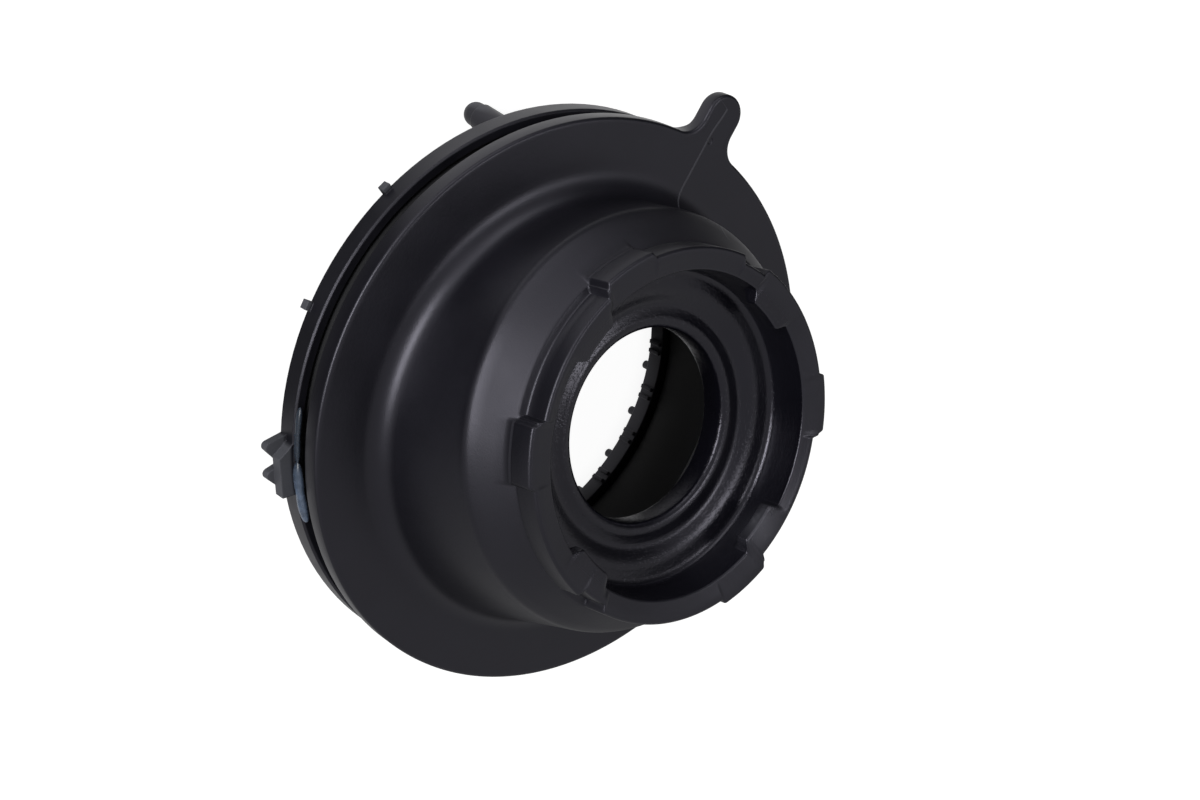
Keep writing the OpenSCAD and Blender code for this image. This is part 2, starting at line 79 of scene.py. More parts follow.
class SpringSeatSizes(PropertyGroup):
    """Sizes of the rubber spring seat."""
    flange_z: length("Flange underside", "Height of the flange's underside", 22.0)
    flange_t: length("Flange thickness", "Thickness of the flange", 4.85)
    flange_r: length("Flange radius", "Outer radius of the flange", 64.95)
    flange_round: length("Flange rounding", "Rounding of the flange's edges", 0.8)
    fillet_r: length("Fillet", "Concave fillet between flange and neck", 5.2)
    lug_out: length("Lug reach", "Reach of the lug from the flange's edge", 12.0)
    lug_w: length("Lug width", "Width of the lug", 9.7)
    lug_t: length("Lug thickness", "Thickness of the lug", 4.0)
    lug_fillet: length("Lug fillet", "Fillet at the lug's root", 5.0)
    tilt: angle("Lean", "Lean of the neck", 7.6)
    lean_az: angle("Lean azimuth", "Azimuth that the neck leans towards", -171.0)
    shift: length("Neck shift", "Shift of the neck's axis at the flange's face", 0.9)
    foot_r: length("Foot radius", "Radius of the neck above the fillet", 48.4)
    shoulder_r: length("Shoulder radius", "Radius of the neck below its shoulder", 46.4)
    shoulder_h: length("Shoulder height", "Height of the shoulder along the neck", 20.5)
    shoulder_round: length("Shoulder rounding", "Rounding of the shoulder", 4.0)
    end_r: length("End ring radius", "Outer radius of the end ring", 40.4)
    end_h: length("End ring height", "Height of the end ring along the neck", 37.0)
    end_round: length("End ring rounding", "Rounding of the end ring's edges", 0.7)
    cone_top_h: length("Cone top", "Height at which the cone meets the end ring", 30.8)
    ring_in_r: length("Ring inner radius", "Inner radius of the end ring", 35.3)
    end_fall: length("End face fall", "Fall of the end face to its inner edge", 0.8)
    boss_out: length("Boss reach", "How far the bosses stand out", 1.2)
    recess_in: length("Recess depth", "Depth of the recesses", 1.6)
    inner_lug_in: length("Inner lug reach", "How far an inner lug reaches in", 2.6)
    inner_lug_h: length("Inner lug height", "Height of an inner lug", 4.6)
    bore_r: length("Bore radius", "Radius of the bore", 21.2)
    bore_len: length("Bore length", "Length of the bore's straight wall", 4.0)
    lip_h: length("Lip height", "Height of the lip's crown along the neck", 25.8)
    lip_w: length("Lip width", "Width of the rounded lip", 2.4)
    ridge_r: length("Ridge radius", "Radius of the ridge on the bowl's floor", 29.6)
    ridge_up: length("Ridge height", "Height of the ridge above the lip's crown", 1.0)
    trough_dip: length("Trough depth", "Depth of the trough below the lip's crown", 0.7)
    pocket_r: length("Pocket radius", "Radius of the pocket for the carrier's spigot", 46.85)
    pocket_h: length("Pocket height", "Height of the pocket for the carrier's spigot", 2.45)
    cavity_r: length("Hollow radius", "Radius of the hollow at the flange", 43.0)
    cavity_top_r: length("Hollow top radius", "Radius of the hollow at its top", 41.0)
    cavity_h: length("Hollow height", "Height of the hollow's wall along the neck", 13.5)
    around: IntProperty(name="Columns", description="Columns of the surface round the axis", default=800)


class GreaseSizes(PropertyGroup):
    """Sizes of the bead of grease in the cap's gap."""
    start: angle("Start", "Azimuth at which the bead starts", -66.0)
    neck: angle("Waist", "Azimuth of the waist between the thin and the fat part", -55.0)
    end: angle("End", "Azimuth at which the bead ends", -42.0)
    radius: length("Path radius", "Radius of the bead's path", 63.9)
    height: length("Path height", "Height of the bead's path", 17.7)
    thin: length("Thin part", "Half width of the thin part", 0.85)
    fat: length("Fat part", "Half width of the fat part", 1.35)


class Finishes(PropertyGroup):
    """Colours of the finishes, as linear values."""
    rubber: colour("Rubber", "Black moulded rubber", (0.0036, 0.0035, 0.0058))
    rubber_rubbed: colour("Rubbed rubber", "Greyed rubber on edges and scuffs", (0.06, 0.06, 0.07))
    cap: colour("Cap plastic", "Black glass-filled plastic of the cap", (0.0045, 0.0045, 0.0066))
    cap_rubbed: colour("Rubbed plastic", "Greyed plastic on the cap's edges", (0.06, 0.062, 0.07))
    grease: colour("Grease", "Blue-grey grease", (0.07, 0.095, 0.14))
    steel: colour("Steel", "Pressed steel of the races", (0.5, 0.51, 0.53))
    ball: colour("Balls", "Polished steel of the balls", (0.62, 0.63, 0.65))
    cage: colour("Cage", "Natural plastic of the cage", (0.6, 0.56, 0.46))
    carrier: colour("Carrier", "Black plastic of the carrier ring", (0.011, 0.0112, 0.013))
    seal: colour("Seals", "Black rubber of the lip seals", (0.012, 0.012, 0.0135))


class StageSizes(PropertyGroup):
    """Camera, floor and light."""
    lens: FloatProperty(name="Lens", description="Focal length in millimetres", default=72.0)
    floor_z: length("Floor height", "Height of the floor, just under the tips of the cap's studs", -2.02)
    key: power("Key light", "Power of the tall soft light on the left", 6.0)
    fill: power("Fill light", "Power of the small soft light on the right", 0.95)
    top: power("Top light", "Power of the wide soft light above", 2.2)
    sky: FloatProperty(name="Sky", description="Strength of the even surround", default=0.43)


def smooth(value, low, high):
    """Smooth step: 0 below low, 1 above high, 3t2 - 2t3 between them."""
    t = np.clip((value - low) / (high - low), 0.0, 1.0)
    return t * t * (3.0 - 2.0 * t)


def turn_from(theta, middle):
    """Angle from an azimuth, brought into -pi to pi."""
    return (theta - middle + math.pi) % (2.0 * math.pi) - math.pi


def window(theta, middle_deg, width_deg, soft_deg):
    """Mask that is 1 over an arc and falls to 0 over a soft angle at either end."""
    away = np.degrees(np.abs(turn_from(theta, math.radians(middle_deg))))
    return 1.0 - smooth(away, 0.5 * (width_deg - soft_deg), 0.5 * (width_deg + soft_deg))


# End ring: width, width of the sloping ends and middles of each kind of step, in degrees
RECESS_DEG, RECESS_SLOPE_DEG = 43.0, 1.2
RECESSES = (-96.0, 89.0)
BOSS_DEG, BOSS_SLOPE_DEG, BOSS_GAP_DEG = 20.0, 1.5, 0.7
BOSSES = tuple(mid + side * (0.5 * (RECESS_DEG + BOSS_DEG) + BOSS_GAP_DEG)
               for mid in RECESSES for side in (-1, 1))
NOTCH_DEG, NOTCH_SLOPE_DEG = 11.0, 1.6
NOTCHES = (180.0, -9.0)
INNER_LUG_DEG, INNER_LUG_SLOPE_DEG = 22.0, 3.3
INNER_LUGS = tuple(74.0 + 90.0 * k for k in range(4))
# Columns round the seat: points of the running sum, and how much denser they are at the steps and at the lug
SUM_POINTS = 14401
STEP_DENSITY, STEP_BELL_DEG, LUG_DENSITY = 5.0, 1.1, 6.0


def seat_columns(count, lug_half):
    """Azimuths round the seat, closer together at the lug and at each step of the end ring.

    The density of columns is 1 plus a bell at each step; its running sum is inverted by interpolation.
    """
    steps = [mid + side * 0.5 * wide
             for mids, wide in ((RECESSES, RECESS_DEG), (BOSSES, BOSS_DEG), (NOTCHES, NOTCH_DEG),
                                (INNER_LUGS, INNER_LUG_DEG))
             for mid in mids for side in (-1, 1)]
    fine = np.linspace(-math.pi, math.pi, SUM_POINTS)
    away = np.degrees(turn_from(fine[:, None], np.radians(np.array(steps))[None, :]))
    density = 1.0 + STEP_DENSITY * np.minimum(np.exp(-(away / STEP_BELL_DEG) ** 2).sum(1), 1.0)
    density += LUG_DENSITY * (np.abs(turn_from(fine, math.pi)) < lug_half)
    total = np.concatenate([[0.0], np.cumsum(0.5 * (density[1:] + density[:-1]))])
    return np.interp(np.arange(count) / count * total[-1], total, fine)


def flange_outline(s, theta, lug_half):
    """Outline of the flange with its lug, and the outline's outward normal.

    Outside the lug's arc the outline is the flange's circle. Inside it the azimuth runs evenly along
    fillet, side and round tip, taken as lengths of arc on either side of the lug's middle.
    """
    half = 0.5 * s.lug_w
    fy = half + s.lug_fillet
    fx = math.sqrt((s.flange_r + s.lug_fillet) ** 2 - fy ** 2)
    tip_x = s.flange_r + s.lug_out - half
    fillet_turn = 0.5 * math.pi - lug_half
    lengths = np.array([0.5 * math.pi * half, tip_x - fx, s.lug_fillet * fillet_turn])
    away = turn_from(theta, math.pi)
    run = np.clip(np.abs(away) / lug_half, 0.0, 1.0) * lengths.sum()
    tip = np.clip(run / half, 0.0, 0.5 * math.pi)
    side = np.clip(run - lengths[0], 0.0, lengths[1])
    bend = np.clip((run - lengths[0] - lengths[1]) / s.lug_fillet, 0.0, fillet_turn)
    x = tip_x + half * np.cos(tip) - side - s.lug_fillet * np.sin(bend)
    y = half * np.sin(tip) + s.lug_fillet * (1.0 - np.cos(bend))
    nx = np.where(bend > 0.0, np.sin(bend), np.cos(tip))
    ny = np.where(bend > 0.0, np.cos(bend), np.sin(tip))
    on_lug = np.abs(away) < lug_half
    sign = np.where(away < 0.0, 1.0, -1.0)
    points = np.where(on_lug[:, None], np.stack([-x, sign * y], 1),
                      s.flange_r * np.stack([np.cos(theta), np.sin(theta)], 1))
    normals = np.where(on_lug[:, None], np.stack([-nx, sign * ny], 1),
                       np.stack([np.cos(theta), np.sin(theta)], 1))
    return points, normals


class SeatRings:
    """Rings of the spring seat, one above the other along its section, each a row of points."""

    def __init__(self, s, theta):
        self.cos, self.sin = np.cos(theta), np.sin(theta)
        turn = Matrix.Rotation(s.lean_az, 3, "Z")
        lean = turn @ Matrix.Rotation(s.tilt, 3, "Y") @ turn.inverted()
        self.lean = np.array(lean)
        self.face_z = s.flange_z + s.flange_t
        self.foot = np.array([s.shift * math.cos(s.lean_az), s.shift * math.sin(s.lean_az), self.face_z])
        self.rows = []

    def level_points(self, r, z):
        """Circle round the bearing axis."""
        return np.stack([r * self.cos, r * self.sin, z + 0.0 * self.cos], 1)

    def neck_points(self, r, h):
        """Circle round the neck's leaning axis: radius and height turned by the lean about the foot."""
        local = np.stack([r * self.cos, r * self.sin, h + 0.0 * self.cos], 1)
        return local @ self.lean.T + self.foot

    def level(self, r, z):
        self.rows.append(self.level_points(r, z))

    def neck(self, r, h):
        self.rows.append(self.neck_points(r, h))

    def between(self, a, b, parts):
        """Rows at given shares of the way from one ring to another."""
        self.rows.extend((1.0 - t) * a + t * b for t in parts)


def rounded_section(corners, steps=5):
    """Section line through corners (radius, height, rounding), each corner turned into an arc.

    The arc is the quadratic curve whose ends lie at the rounding's tangent length on either side.
    """
    line = [np.array(corners[0][:2])]
    for before, here, after in zip(corners, corners[1:], corners[2:]):
        p, c, q = (np.array(k[:2]) for k in (before, here, after))
        a, b = p - c, q - c
        la, lb = np.linalg.norm(a), np.linalg.norm(b)
        cut = min(here[2], 0.49 * la, 0.49 * lb)
        start, stop = c + a / la * cut, c + b / lb * cut
        t = np.linspace(0.0, 1.0, steps)[:, None]
        line.extend((1 - t) ** 2 * start + 2 * t * (1 - t) * c + t ** 2 * stop)
    line.append(np.array(corners[-1][:2]))
    return np.array(line)


def quarter(steps=6):
    """Sine and cosine of evenly spaced turns from 0 to 90 degrees, for a rounded edge."""
    turns = np.radians(np.linspace(0.0, 90.0, steps))
    return zip(np.sin(turns), np.cos(turns))


def flange_rows(k, s, edge, on_lug):
    """Pocket, underside and rounded edge of the flange, whose underside rises along the lug."""
    k.level(s.pocket_r, s.flange_z + s.pocket_h)
    k.level(s.pocket_r, s.flange_z + 0.4 * s.pocket_h)
    low_z = s.flange_z + (s.flange_t - s.lug_t) * on_lug
    k.level(s.pocket_r + 0.2 * MM, s.flange_z)
    inner = k.level_points(s.foot_r + s.fillet_r, s.flange_z)
    k.between(k.level_points(s.pocket_r + 0.6 * MM, s.flange_z), inner, (0.0, 1.0))
    k.between(inner, edge(2.0 * s.flange_round, low_z), (0.5, 0.9, 1.0))
    for sine, cosine in quarter():
        k.rows.append(edge(s.flange_round * (1.0 - sine), low_z + s.flange_round * (1.0 - cosine)))
    for sine, cosine in quarter():
        k.rows.append(edge(s.flange_round * (1.0 - cosine), k.face_z - s.flange_round * (1.0 - sine)))


def wall_rows(k, s, edge):
    """Flange's face, fillet and leaning wall.

    The wall is ruled from the end of the fillet's arc to the leaning ring below the shoulder. The arc turns
    by 90 degrees less the wall's own lean psi at each azimuth.
    """
    top = k.neck_points(s.shoulder_r, s.shoulder_h)
    top_r = np.hypot(top[:, 0], top[:, 1])
    psi = np.arctan2(s.foot_r - top_r, top[:, 2] - k.face_z - s.fillet_r)
    centre_r = s.foot_r + s.fillet_r / np.cos(psi)
    fillet_foot = k.level_points(centre_r, k.face_z)
    k.between(edge(1.6 * s.flange_round, k.face_z), fillet_foot, (0.0, 0.3, 0.6, 0.85))
    for share in np.linspace(0.0, 1.0, 11):
        turn = share * (0.5 * math.pi - psi)
        k.level(centre_r - s.fillet_r * np.sin(turn), k.face_z + s.fillet_r * (1.0 - np.cos(turn)))
    k.between(k.rows[-1], top, (0.12, 0.35, 0.6, 0.82, 0.95))


def shoulder_rows(k, s):
    """Rounded shoulder and cone on the leaning axis; gives the cone's slope, radius by height."""
    cone = math.atan2(s.shoulder_r - s.end_r, s.cone_top_h - s.shoulder_h - 0.5 * s.shoulder_round)
    for turn in np.linspace(0.0, cone, 7):
        k.neck(s.shoulder_r - s.shoulder_round * (1.0 - math.cos(turn)),
               s.shoulder_h + s.shoulder_round * math.sin(turn))
    cone_r = s.shoulder_r - s.shoulder_round * (1.0 - math.cos(cone))
    cone_h = s.shoulder_h + s.shoulder_round * math.sin(cone)
    for share in (0.25, 0.5, 0.72):
        k.neck(cone_r + share * (s.end_r - cone_r), cone_h + share * (s.cone_top_h - cone_h))
    return (s.end_r - cone_r) / (s.cone_top_h - cone_h)


def ring_rows(k, s, theta, slope):
    """Outside of the end ring, from the end of the cone; gives the ring's outer radius at each azimuth.

    Bosses, recesses and notches are masks of the azimuth that move the radius. Below a recess the cone
    ends in a ledge, and below a boss it rises a little to meet the boss's foot.
    """
    boss = sum(window(theta, mid, BOSS_DEG - BOSS_SLOPE_DEG, BOSS_SLOPE_DEG) for mid in BOSSES)
    recess = sum(window(theta, mid, RECESS_DEG, RECESS_SLOPE_DEG) for mid in RECESSES)
    notch = sum(window(theta, mid, NOTCH_DEG, NOTCH_SLOPE_DEG) for mid in NOTCHES)
    cut = np.maximum(recess, notch)
    full = 1.0 - cut
    ring_r = s.end_r + s.boss_out * boss * full - s.recess_in * cut
    ledge_r = np.maximum(s.end_r, ring_r)
    foot_h = s.cone_top_h
    k.neck(s.end_r - slope * 0.9 * MM + 0.35 * (ledge_r - s.end_r), foot_h - 0.9 * MM)
    k.neck(ledge_r - slope * 0.2 * MM, foot_h - 0.2 * MM)
    k.neck(ledge_r - 0.1 * MM - 0.1 * MM * cut, foot_h + 0.05 * MM * full)
    k.neck(ring_r + 0.3 * MM * cut, foot_h + 0.1 * MM + 0.3 * MM * full)
    k.neck(ring_r, foot_h + 0.6 * MM)
    k.neck(ring_r, foot_h + 0.5 * (s.end_h - s.end_round - foot_h))
    for sine, cosine in quarter():
        k.neck(ring_r - s.end_round * (1.0 - cosine), s.end_h - s.end_round * (1.0 - sine))
    return ring_r


def bowl_rows(k, s, theta, ring_r):
    """End face, inner lugs and bowl's wall, then bowl, lip, bore, and the roof and wall of the hollow."""
    lug = sum(window(theta, mid, INNER_LUG_DEG - INNER_LUG_SLOPE_DEG, INNER_LUG_SLOPE_DEG)
              for mid in INNER_LUGS)
    in_r = s.ring_in_r - s.inner_lug_in * lug
    in_h = s.end_h - s.end_fall
    inner_round = 0.5 * MM
    out_ring = k.neck_points(ring_r - 1.8 * s.end_round, s.end_h - 0.03 * MM)
    in_ring = k.neck_points(in_r + inner_round, in_h)
    k.between(out_ring, in_ring, (0.0, 0.35, 0.7, 0.92, 1.0))
    for turn in np.radians((25.0, 50.0, 75.0, 90.0)):
        k.neck(in_r + inner_round * (1.0 - math.sin(turn)), in_h - inner_round * (1.0 - math.cos(turn)))
    floor_h = s.lip_h + s.ridge_up
    draft = 0.7 * MM
    # Drops are shares of the inner lugs' height; from about half of it on, the lugs fade into the wall
    for drop in (0.18, 0.36, 0.52, 0.62, 0.72, 0.84, 0.96, 1.1):
        h = in_h - drop * s.inner_lug_h
        wall = s.ring_in_r - draft * (in_h - h) / (in_h - floor_h)
        k.neck(wall - s.inner_lug_in * lug * (1.0 - smooth(drop, 0.55, 1.05)), h)

    wall_r = s.ring_in_r - draft
    bore_low_h = s.lip_h - s.lip_w - s.bore_len
    # Corners: wall's foot, bowl's corner, ridge, trough's two sides, lip, both ends of the bore, and the roof
    bowl = rounded_section([
        (wall_r + 0.1 * MM, in_h - 1.3 * s.inner_lug_h, 0.0),
        (wall_r - 0.1 * MM, floor_h, 2.2 * MM),
        (s.ridge_r, floor_h, 1.6 * MM),
        (s.ridge_r - 3.0 * MM, s.lip_h - 1.3 * s.trough_dip, 1.8 * MM),
        (s.bore_r + s.lip_w + 1.2 * MM, s.lip_h - 0.85 * s.trough_dip, 1.8 * MM),
        (s.bore_r + 0.75 * s.lip_w, s.lip_h + 0.1 * MM, 1.2 * MM),
        (s.bore_r, s.lip_h - 0.3 * s.lip_w, 1.5 * MM),
        (s.bore_r, bore_low_h, 0.5 * MM),
        (0.5 * (s.bore_r + s.cavity_top_r), bore_low_h - 1.0 * MM, 2.0 * MM),
        (s.cavity_top_r - 1.8 * MM, s.cavity_h + 3.6 * MM, 1.5 * MM),
        (s.cavity_top_r, s.cavity_h, 0.0),
    ], steps=4)
    for r, h in bowl:
        k.neck(r, h)
    pocket_z = s.flange_z + s.pocket_h
    roof = k.neck_points(s.cavity_top_r + 0.1 * MM, s.cavity_h - 0.2 * MM)
    low = k.level_points(s.cavity_r - 0.1 * MM, pocket_z + 0.2 * MM)
    k.between(roof, low, (0.3, 0.65, 0.98))
    k.level(s.cavity_r + 0.15 * MM, pocket_z)


def seat_rows(s):
    """Rows of the closed spring seat, from the pocket under the flange round the section and back to it.

    Below the fillet the rings are level, and from the shoulder on they stand on the leaning axis.
    """
    lug_y = 0.5 * s.lug_w + s.lug_fillet
    lug_half = math.atan2(lug_y, math.sqrt((s.flange_r + s.lug_fillet) ** 2 - lug_y ** 2))
    theta = seat_columns(s.around, lug_half)
    outline, normal = flange_outline(s, theta, lug_half)
    reach = np.hypot(outline[:, 0], outline[:, 1])
    on_lug = smooth(reach, s.flange_r + 0.2 * MM, s.flange_r + 2.5 * MM)

    def edge(inset, z):
        return np.concatenate([outline - inset * normal, (z + 0.0 * theta)[:, None]], 1)

    k = SeatRings(s, theta)
    flange_rows(k, s, edge, on_lug)
    wall_rows(k, s, edge)
    slope = shoulder_rows(k, s)
    ring_r = ring_rows(k, s, theta, slope)
    bowl_rows(k, s, theta, ring_r)
    return np.array(k.rows), theta


def closed_grid(name, rows):
    """Mesh of a grid that closes on itself both ways, with quads between neighbouring rows and columns."""
    n, m = rows.shape[:2]
    index = np.arange(n * m).reshape(n, m)
    right, up = np.roll(index, -1, 1), np.roll(index, -1, 0)
    both = np.roll(right, -1, 0)
    quads = np.stack([index, right, both, up], -1).reshape(-1, 4)
    return mesh_of(name, rows.reshape(-1, 3), quads)


def capped_tube(name, rows, start, stop):
    """Mesh of a tube of closed rows with a middle point that closes either end."""
    n, m = rows.shape[:2]
    index = np.arange(n * m).reshape(n, m)
    right = np.roll(index, -1, 1)
    quads = np.stack([index[:-1], right[:-1], right[1:], index[1:]], -1).reshape(-1, 4)
    points = np.concatenate([rows.reshape(-1, 3), [start], [stop]])
    first = np.stack([right[0], index[0], np.full(m, n * m)], -1)
    last = np.stack([index[-1], right[-1], np.full(m, n * m + 1)], -1)
    return mesh_of(name, points, quads, np.concatenate([first, last]))


def mesh_of(name, points, quads, triangles=None):
    """Smooth mesh object at the origin from arrays of points, quads and triangles."""
    mesh = bpy.data.meshes.new(name)
    loops = quads.reshape(-1)
    starts = np.arange(len(quads)) * 4
    totals = np.full(len(quads), 4)
    if triangles is not None:
        starts = np.concatenate([starts, len(loops) + np.arange(len(triangles)) * 3])
        totals = np.concatenate([totals, np.full(len(triangles), 3)])
        loops = np.concatenate([loops, triangles.reshape(-1)])
    mesh.vertices.add(len(points))
    mesh.vertices.foreach_set("co", points.astype(np.float32).reshape(-1))
    mesh.loops.add(len(loops))
    mesh.loops.foreach_set("vertex_index", loops.astype(np.int32))
    mesh.polygons.add(len(starts))
    mesh.polygons.foreach_set("loop_start", starts.astype(np.int32))
    mesh.polygons.foreach_set("loop_total", totals.astype(np.int32))
    mesh.polygons.foreach_set("use_smooth", np.ones(len(starts), dtype=bool))
    mesh.update(calc_edges=True)
    mesh.validate()
    piece = bpy.data.objects.new(name, mesh)
    bpy.context.scene.collection.objects.link(piece)
    return piece


def set_attribute(piece, name, values):
    """Writes one number per point to a named attribute of the mesh."""
    layer = piece.data.attributes.new(name, "FLOAT", "POINT")
    layer.data.foreach_set("value", values.astype(np.float32).reshape(-1))


def new_group(name, inputs, outputs):
    """Empty shader node group with the given sockets, each (name, kind, default)."""
    group = bpy.data.node_groups.new(name, "ShaderNodeTree")
    for label, kind, default in inputs:
        socket = group.interface.new_socket(label, in_out="INPUT", socket_type=kind)
        if default is not None:
            socket.default_value = default
    for label, kind in outputs:
        group.interface.new_socket(label, in_out="OUTPUT", socket_type=kind)
    return group, group.nodes.new("NodeGroupInput"), group.nodes.new("NodeGroupOutput")


def noise(tree, vector, scale, detail, roughness=0.5):
    """Noise node that reads a vector socket."""
    node = tree.nodes.new("ShaderNodeTexNoise")
    node.inputs["Scale"].default_value = scale
    node.inputs["Detail"].default_value = detail
    node.inputs["Roughness"].default_value = roughness
    tree.links.new(vector, node.inputs["Vector"])
    return node.outputs["Fac"]


def calc(tree, operation, a, b=None, c=None, clamp=False):
    """Math node of one, two or three values, each a socket or a number."""
    node = tree.nodes.new("ShaderNodeMath")
    node.operation = operation
    node.use_clamp = clamp
    for socket, value in zip(node.inputs, (a, b, c)):
        if value is None:
            continue
        if isinstance(value, (int, float)):
            socket.default_value = value
        else:
            tree.links.new(value, socket)
    return node.outputs[0]


def spread(tree, value, low, high, to_low=0.0, to_high=1.0):
    """Map Range node with smooth ends."""
    node = tree.nodes.new("ShaderNodeMapRange")
    node.interpolation_type = "SMOOTHSTEP"
    tree.links.new(value, node.inputs["Value"])
    for label, number in (("From Min", low), ("From Max", high), ("To Min", to_low), ("To Max", to_high)):
        node.inputs[label].default_value = number
    return node.outputs["Result"]


def mixed(tree, factor, a, b):
    """Colour mix of two sockets or colours by a factor."""
    node = tree.nodes.new("ShaderNodeMix")
    node.data_type = "RGBA"
    tree.links.new(factor, node.inputs["Factor"])
    for label, value in (("A", a), ("B", b)):
        socket = [k for k in node.inputs if k.name == label and k.type == "RGBA"][0]
        if isinstance(value, (tuple, list)):
            socket.default_value = (*value, 1.0)
        else:
            tree.links.new(value, socket)
    return [k for k in node.outputs if k.type == "RGBA"][0]


def grain_group():
    """Fine moulded grain: two sizes of noise added into a height, and a slow cloud for colour and gloss."""
    group, entry, leave = new_group(
        "moulded_grain",
        [("Vector", "NodeSocketVector", None), ("Size", "NodeSocketFloat", 1.0)],
        [("Height", "NodeSocketFloat"), ("Cloud", "NodeSocketFloat")])
    scaled = group.nodes.new("ShaderNodeVectorMath")
    scaled.operation = "SCALE"
    group.links.new(entry.outputs["Vector"], scaled.inputs[0])
    group.links.new(entry.outputs["Size"], scaled.inputs["Scale"])
    fine = noise(group, scaled.outputs[0], 2600.0, 2.0, 0.6)
    mid = noise(group, scaled.outputs[0], 900.0, 2.0, 0.5)
    cloud = noise(group, scaled.outputs[0], 60.0, 3.0, 0.55)
    height = calc(group, "MULTIPLY_ADD", fine, 0.6, calc(group, "MULTIPLY", mid, 0.4))
    group.links.new(height, leave.inputs["Height"])
    group.links.new(cloud, leave.inputs["Cloud"])


def edge_group():
    """Rub on edges: how far the rounded normal turns from the flat one, broken up by noise."""
    group, entry, leave = new_group(
        "edge_rub",
        [("Vector", "NodeSocketVector", None), ("Width", "NodeSocketFloat", 0.0005)],
        [("Mask", "NodeSocketFloat"), ("Normal", "NodeSocketVector")])
    bevel = group.nodes.new("ShaderNodeBevel")
    bevel.samples = 6
    group.links.new(entry.outputs["Width"], bevel.inputs["Radius"])
    shape = group.nodes.new("ShaderNodeNewGeometry")
    dot = group.nodes.new("ShaderNodeVectorMath")
    dot.operation = "DOT_PRODUCT"
    group.links.new(bevel.outputs["Normal"], dot.inputs[0])
    group.links.new(shape.outputs["Normal"], dot.inputs[1])
    turned = calc(group, "SUBTRACT", 1.0, dot.outputs["Value"])
    broken = spread(group, noise(group, entry.outputs["Vector"], 420.0, 3.0), 0.32, 0.62, 0.35, 1.0)
    mask = calc(group, "MULTIPLY", spread(group, turned, 0.02, 0.22), broken, clamp=True)
    group.links.new(mask, leave.inputs["Mask"])
    group.links.new(bevel.outputs["Normal"], leave.inputs["Normal"])


def new_material(name):
    """Empty material with a Principled BSDF, and its Object coordinates."""
    material = bpy.data.materials.new(name)
    material.use_nodes = True
    tree = material.node_tree
    shader = tree.nodes["Principled BSDF"]
    where = tree.nodes.new("ShaderNodeTexCoord").outputs["Object"]
    return material, tree, shader, where


def placed(tree, group, vector, **values):
    """Node group placed in a material, reading a vector, with its own values."""
    node = tree.nodes.new("ShaderNodeGroup")
    node.node_tree = group
    tree.links.new(vector, node.inputs["Vector"])
    for label, value in values.items():
        node.inputs[label].default_value = value
    return node


def bumped(tree, shader, height, distance, strength, normal=None):
    """Bump node that feeds the shader's normal."""
    bump = tree.nodes.new("ShaderNodeBump")
    bump.inputs["Distance"].default_value = distance
    bump.inputs["Strength"].default_value = strength
    tree.links.new(height, bump.inputs["Height"])
    if normal is not None:
        tree.links.new(normal, bump.inputs["Normal"])
    tree.links.new(bump.outputs["Normal"], shader.inputs["Normal"])


def attribute(tree, name):
    """Value of a named attribute of the mesh."""
    node = tree.nodes.new("ShaderNodeAttribute")
    node.attribute_name = name
    return node.outputs["Fac"]


def product(tree, first, *others):
    """Product of two or more values."""
    for other in others:
        first = calc(tree, "MULTIPLY", first, other)
    return first


def largest(tree, first, *others):
    """Largest of two or more values."""
    for other in others:
        first = calc(tree, "MAXIMUM", first, other)
    return first


def axes_of(tree, where):
    """The x, y and z of a vector socket."""
    split = tree.nodes.new("ShaderNodeSeparateXYZ")
    tree.links.new(where, split.inputs[0])
    return split.outputs


def from_axis(tree, x, y):
    """Distance from the bearing axis: the root of x squared plus y squared."""
    return calc(tree, "SQRT", calc(tree, "ADD", product(tree, x, x), product(tree, y, y)))


def clouded(tree, cloud, tint, low, high):
    """Colour that a cloud varies between two multiples of a tint."""
    dark, light = (tuple(share * k for k in tint) for share in (low, high))
    return mixed(tree, spread(tree, cloud, 0.3, 0.7), dark, light)


SPECULAR_TINT = (0.88, 0.86, 1.0, 1.0)
# Parting line: x of the lug's tip, of the bend behind it, of the lug's root and of the end on the fillet
LINE_TIP, LINE_BEND, LINE_ROOT = -75.2 * MM, -73.6 * MM, -66.7 * MM
LINE_END = (-47.2 * MM, -47.8 * MM)
# Its offset to one side at the tip, at the bend and at the root, its half width and the height it starts at
LINE_OFF_TIP, LINE_OFF_BEND, LINE_OFF_ROOT = 4.1 * MM, 0.5 * MM, 1.3 * MM
LINE_HALF = (0.12 * MM, 0.3 * MM)
LINE_LOW = (26.2 * MM, 26.6 * MM)
DIMPLE_PLACE = (-65.8 * MM, -0.65 * MM, 26.85 * MM)
DIMPLE_R = (0.5 * MM, 0.9 * MM)
# Radii between which the cap's plastic turns greyer and rougher
OUTER_GREY_R = (64.3 * MM, 65.2 * MM)


